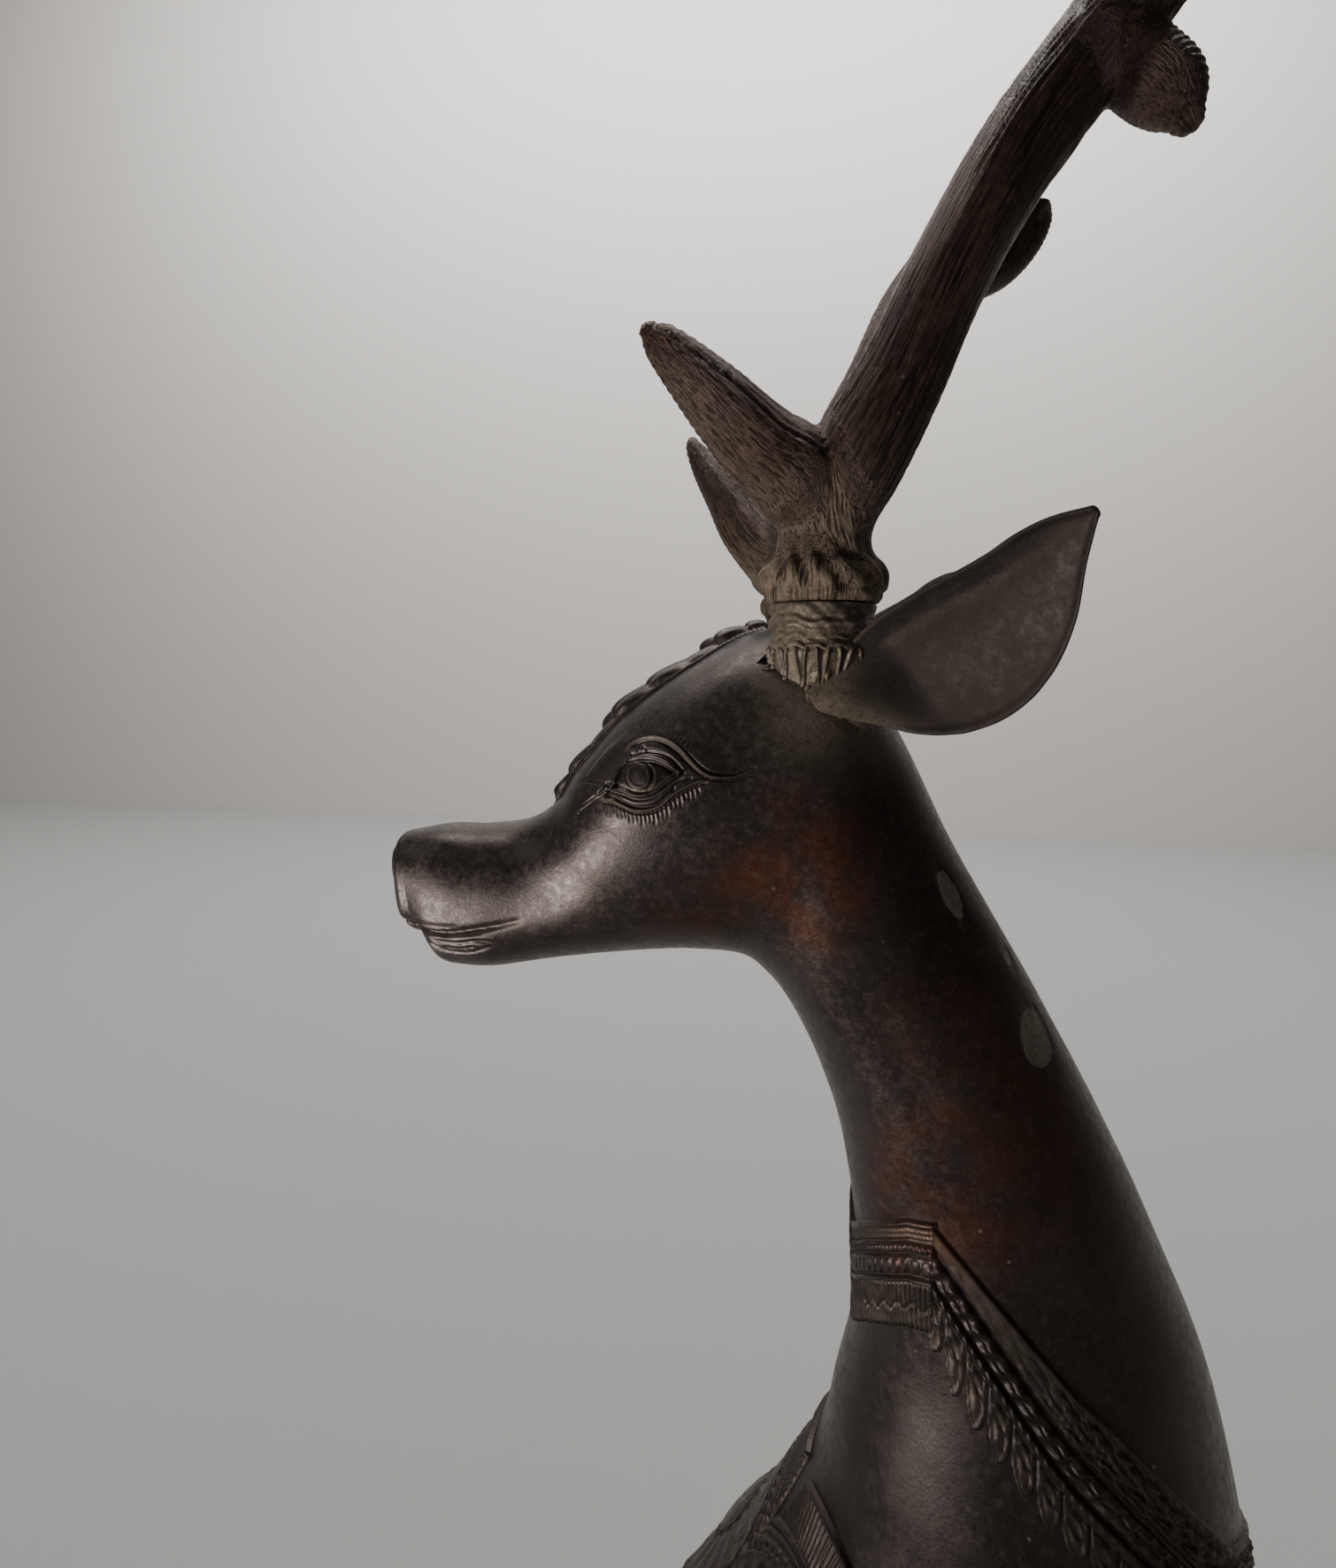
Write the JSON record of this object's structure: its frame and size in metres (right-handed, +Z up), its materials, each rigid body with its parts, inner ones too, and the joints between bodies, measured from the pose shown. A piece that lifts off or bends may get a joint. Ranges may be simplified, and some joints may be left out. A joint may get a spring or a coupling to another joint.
{
  "type": "bronze deer sculpture",
  "caption": "Bronze bust of a deer with a long neck, cupped ears, branched antlers, a curled forelock and a fringed harness in low relief.",
  "frame": {"origin": "middle of the footprint of the whole object, on the flat underside", "axes": "+Z up, the deer faces -X, its left side is towards -Y"},
  "size_m": [0.4194, 0.1962, 0.8669],
  "materials": {
    "dark_bronze": "polished dark brown patina with reddish patches",
    "antler_bronze": "dark brown patina, satin, with tan dust in the grooves"
  },
  "bodies": {
    "root": {"bust": "dark_bronze", "antler_left": "antler_bronze", "antler_right": "antler_bronze"}
  },
  "joints": []
}
